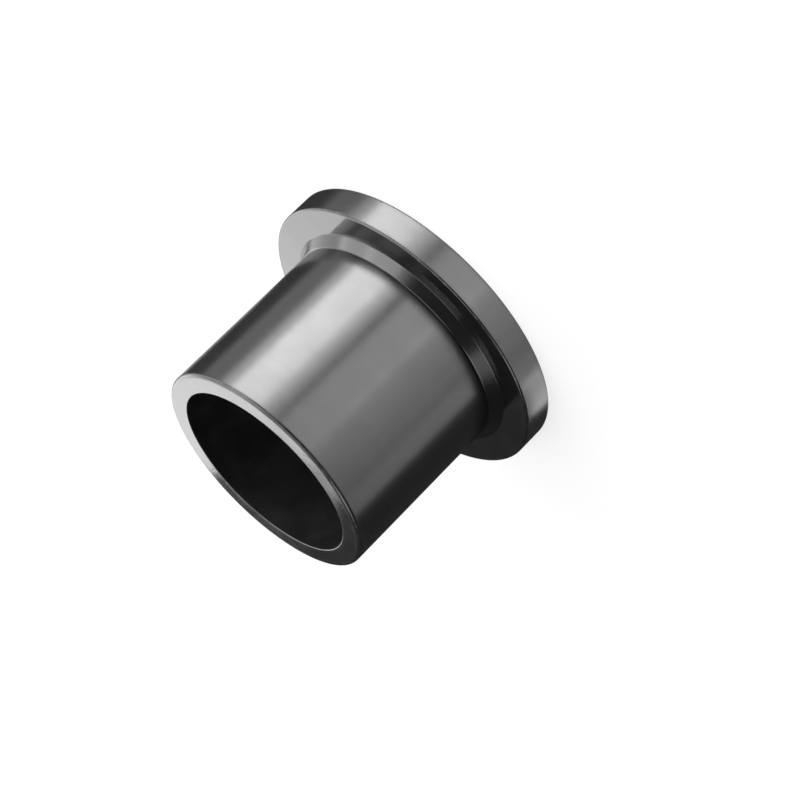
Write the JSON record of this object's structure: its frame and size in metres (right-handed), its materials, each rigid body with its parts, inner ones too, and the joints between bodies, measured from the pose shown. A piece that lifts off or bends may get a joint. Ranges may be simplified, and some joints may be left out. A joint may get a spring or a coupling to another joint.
{
  "type": "lap joint stub end",
  "caption": "Moulded stub end for a lapped flange joint: a plain pipe spigot that widens through a tapered shoulder into a thick lap, which a loose backing ring presses on a gasket.",
  "frame": {"origin": "centre of the gasket face, on the pipe's axis; the stub end stands on that face", "axes": "+Z along the pipe's axis, from the gasket face to the spigot's end"},
  "size_m": [0.212, 0.212, 0.152],
  "materials": {
    "stub_end": "semi-gloss moulded black polyethylene"
  },
  "bodies": {
    "root": {"stub_end": "stub_end"}
  },
  "joints": []
}
